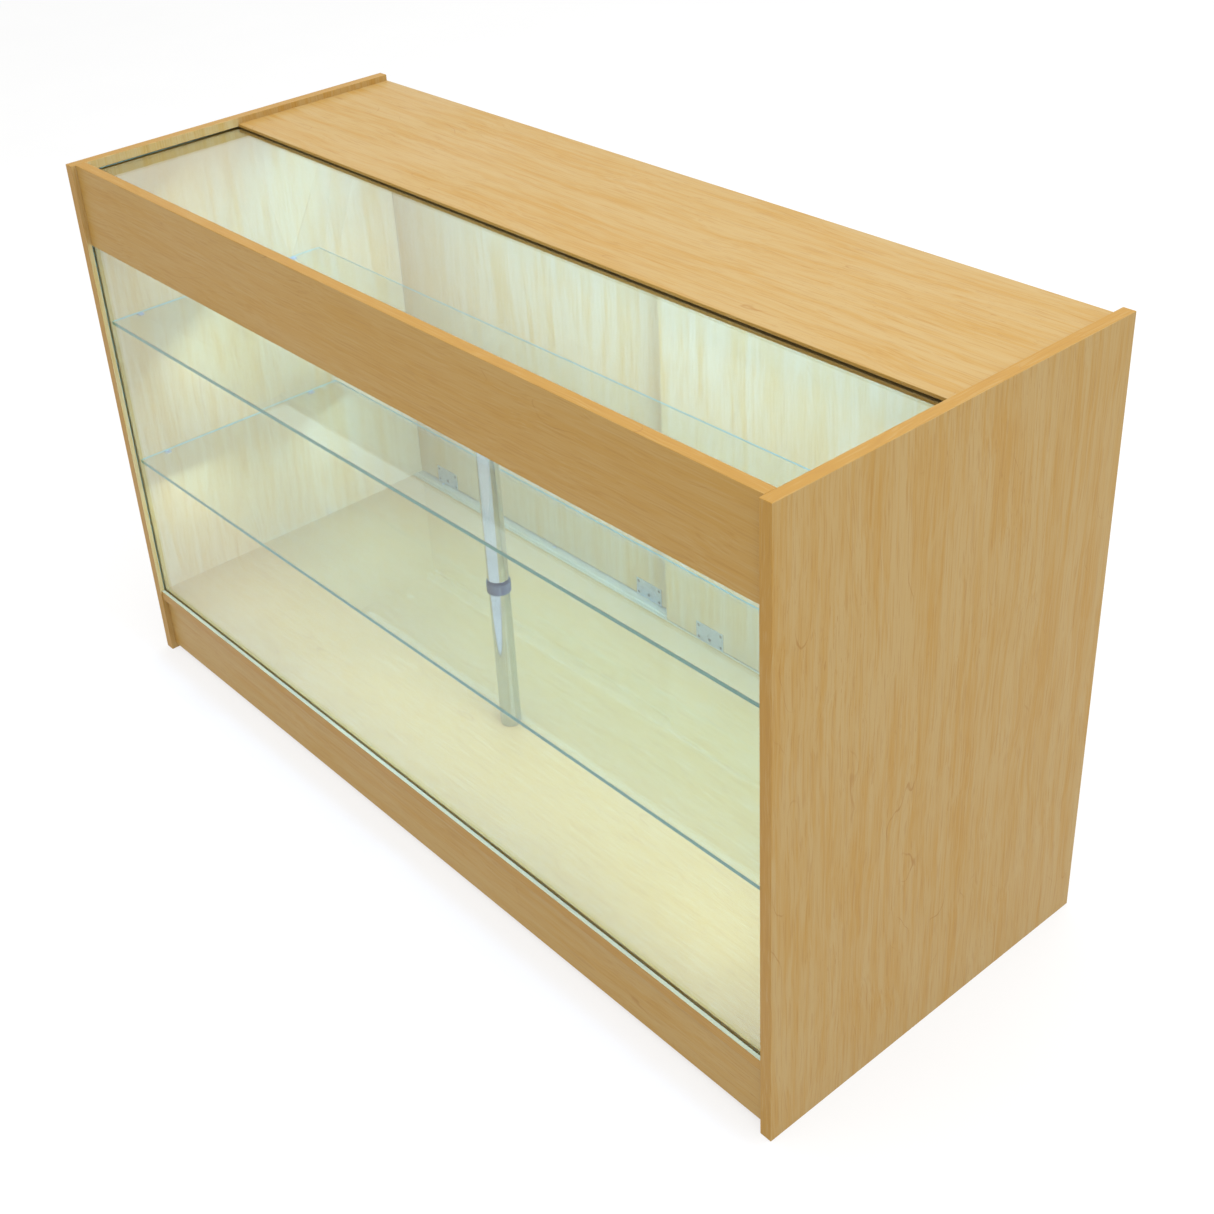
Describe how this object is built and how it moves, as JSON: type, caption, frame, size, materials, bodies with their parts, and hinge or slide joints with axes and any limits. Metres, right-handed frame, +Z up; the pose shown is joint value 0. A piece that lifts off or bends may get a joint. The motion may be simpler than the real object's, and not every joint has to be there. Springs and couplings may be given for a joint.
{
  "type": "retail display counter",
  "caption": "Floor-standing wood display counter with a glass front, half glass top, glass shelves on a centre column and sliding rear doors with a push lock.",
  "frame": {"origin": "on the floor, midway between the end panels and midway between their front and rear edges", "axes": "+X along the case to the right as seen from the glass front, +Y from the glass front to the sliding doors, +Z up"},
  "size_m": [1.5, 0.608, 0.91],
  "materials": {
    "maple_board": "maple-effect melamine, satin",
    "clear_glass": "clear float glass, polished green edges",
    "clear_plastic": "clear moulded",
    "polished_chrome": "polished",
    "zinc_plated_steel": "bright zinc plate",
    "anodised_aluminium": "satin anodised",
    "dark_plastic": "moulded, satin",
    "black_rubber": "matt",
    "white_plastic": "nylon, satin",
    "light_chips": "lens over chip",
    "beech_wood": "fluted dowel, unfinished",
    "brass_plug": "satin"
  },
  "bodies": {
    "carcass": {"left_end_panel": "maple_board", "right_end_panel": "maple_board", "front_fascia": "maple_board", "wood_top": "maple_board", "deck": "maple_board", "front_plinth": "maple_board", "rear_plinth": "maple_board", "plinth_brace": "maple_board", "front_glass": "clear_glass", "top_glass": "clear_glass", "lower_shelf": "clear_glass", "upper_shelf": "clear_glass", "shelf_pegs": "clear_plastic", "column_top_pad": "clear_plastic", "light_cover": "clear_plastic", "lower_column_tube": "polished_chrome", "upper_column_tube": "polished_chrome", "tie_rod": "zinc_plated_steel", "tie_rod_nuts": "zinc_plated_steel", "tie_rod_washer": "zinc_plated_steel", "track_screws": "zinc_plated_steel", "cam_housings": "zinc_plated_steel", "cam_bolts": "zinc_plated_steel", "light_clips": "zinc_plated_steel", "light_clip_screws": "zinc_plated_steel", "lower_door_track": "anodised_aluminium", "light_profile": "anodised_aluminium", "column_collar": "dark_plastic", "column_plugs": "dark_plastic", "light_end_caps": "dark_plastic", "light_socket": "dark_plastic", "column_glass_washers": "black_rubber", "upper_door_track": "white_plastic", "light_board": "white_plastic", "light_leds": "light_chips", "dowels": "beech_wood"},
    "left_door": {"left_door": "maple_board", "left_door_roller_housings": "zinc_plated_steel", "left_door_axles": "zinc_plated_steel", "left_door_roller_screws": "zinc_plated_steel", "left_door_top_guides": "white_plastic", "left_door_pull": "polished_chrome", "lock_housing": "polished_chrome"},
    "right_door": {"right_door": "maple_board", "right_door_roller_housings": "zinc_plated_steel", "right_door_axles": "zinc_plated_steel", "right_door_roller_screws": "zinc_plated_steel", "right_door_top_guides": "white_plastic", "right_door_pull": "polished_chrome", "lock_strike": "zinc_plated_steel"},
    "left_door_left_wheel": {"left_door_left_wheel": "white_plastic"},
    "left_door_right_wheel": {"left_door_right_wheel": "white_plastic"},
    "right_door_left_wheel": {"right_door_left_wheel": "white_plastic"},
    "right_door_right_wheel": {"right_door_right_wheel": "white_plastic"},
    "lock_cylinder": {"lock_cylinder": "polished_chrome"},
    "lock_plug": {"lock_plug": "brass_plug"}
  },
  "joints": [
    {"name": "left_door_slide", "type": "slide", "parent": "carcass", "child": "left_door", "axis": [1, 0, 0], "range_m": [0, 0.712]},
    {"name": "right_door_slide", "type": "slide", "parent": "carcass", "child": "right_door", "axis": [-1, 0, 0], "range_m": [0, 0.712]},
    {"name": "left_door_left_wheel_roll", "type": "hinge", "parent": "left_door", "child": "left_door_left_wheel", "pos_m": [-0.645, 0.291, 0.1374], "axis": [0, 1, 0], "continuous": true},
    {"name": "left_door_right_wheel_roll", "type": "hinge", "parent": "left_door", "child": "left_door_right_wheel", "pos_m": [-0.083, 0.291, 0.1374], "axis": [0, 1, 0], "continuous": true},
    {"name": "right_door_left_wheel_roll", "type": "hinge", "parent": "right_door", "child": "right_door_left_wheel", "pos_m": [0.083, 0.27, 0.1374], "axis": [0, -1, 0], "continuous": true},
    {"name": "right_door_right_wheel_roll", "type": "hinge", "parent": "right_door", "child": "right_door_right_wheel", "pos_m": [0.645, 0.27, 0.1374], "axis": [0, -1, 0], "continuous": true},
    {"name": "lock_push", "type": "slide", "parent": "left_door", "child": "lock_cylinder", "axis": [0, -1, 0], "range_m": [0, 0.008], "stiffness_N_per_m": 250, "springref_m": -0.008},
    {"name": "lock_key_turn", "type": "hinge", "parent": "lock_cylinder", "child": "lock_plug", "pos_m": [0, 0.304, 0.56], "axis": [0, 1, 0], "range_deg": [0, 90]}
  ],
  "couplings": [
    {"joint": "left_door_left_wheel_roll", "follows": "left_door_slide", "rad_per_m": 111.11},
    {"joint": "left_door_right_wheel_roll", "follows": "left_door_slide", "rad_per_m": 111.11},
    {"joint": "right_door_left_wheel_roll", "follows": "right_door_slide", "rad_per_m": 111.11},
    {"joint": "right_door_right_wheel_roll", "follows": "right_door_slide", "rad_per_m": 111.11}
  ]
}
